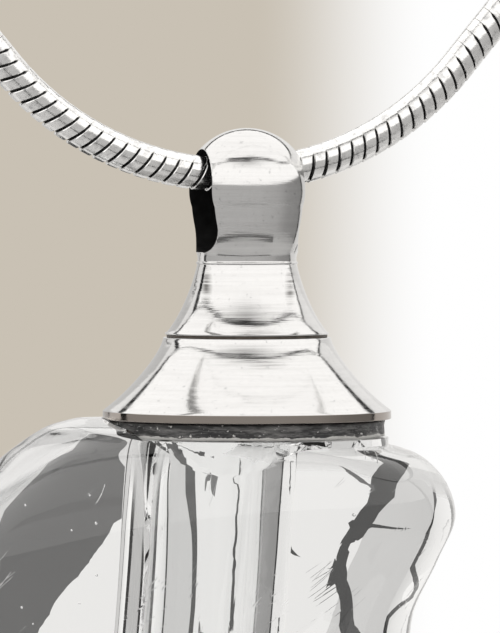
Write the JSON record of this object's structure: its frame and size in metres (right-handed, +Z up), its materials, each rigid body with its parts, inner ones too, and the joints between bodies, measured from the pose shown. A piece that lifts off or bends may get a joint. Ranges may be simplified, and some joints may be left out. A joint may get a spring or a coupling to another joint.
{
  "type": "glass locket on a snake chain",
  "caption": "Clear glass heart locket with a bored chamber and a turned screw cap, hanging by its ball bail on a snake chain necklace.",
  "frame": {"origin": "the point on the underside of the clasp where the necklace hangs on the nape", "axes": "+Z up, -Y the locket's front, X along the chain through the bail; the locket hangs at negative Z"},
  "size_m": [0.1362, 0.0123, 0.1878],
  "materials": {
    "polished_silver": "turned and polished silver with fine lathe marks",
    "chain_silver": "polished silver links with dark gaps",
    "dark_seal": "thin dark sealing washer",
    "seat_cement": "rough dark cement with pale specks",
    "clear_glass": "clear polished glass with faint scratches and bubbles"
  },
  "bodies": {
    "necklace": {"chain": "chain_silver", "clasp": "polished_silver"},
    "bail": {"bail_top": "polished_silver"},
    "washer": {"seal_washer": "dark_seal"},
    "locket": {"cap_base": "polished_silver", "seat_ring": "seat_cement", "glass_heart": "clear_glass"}
  },
  "joints": [
    {"name": "pendant_swing", "type": "hinge", "parent": "necklace", "child": "bail", "pos_m": [0.0005, 0, -0.15732], "axis": [1, 0, 0], "range_deg": [-80, 80]},
    {"name": "unscrew_turn", "type": "hinge", "parent": "bail", "child": "washer", "pos_m": [0.0005, 0, -0.163], "axis": [0, 0, -1], "range_deg": [0, 1080]},
    {"name": "unscrew_travel", "type": "slide", "parent": "washer", "child": "locket", "axis": [0, 0, -1], "range_m": [0, 0.0018]}
  ],
  "couplings": [
    {"joint": "unscrew_turn", "follows": "unscrew_travel", "rad_per_m": 10472}
  ]
}
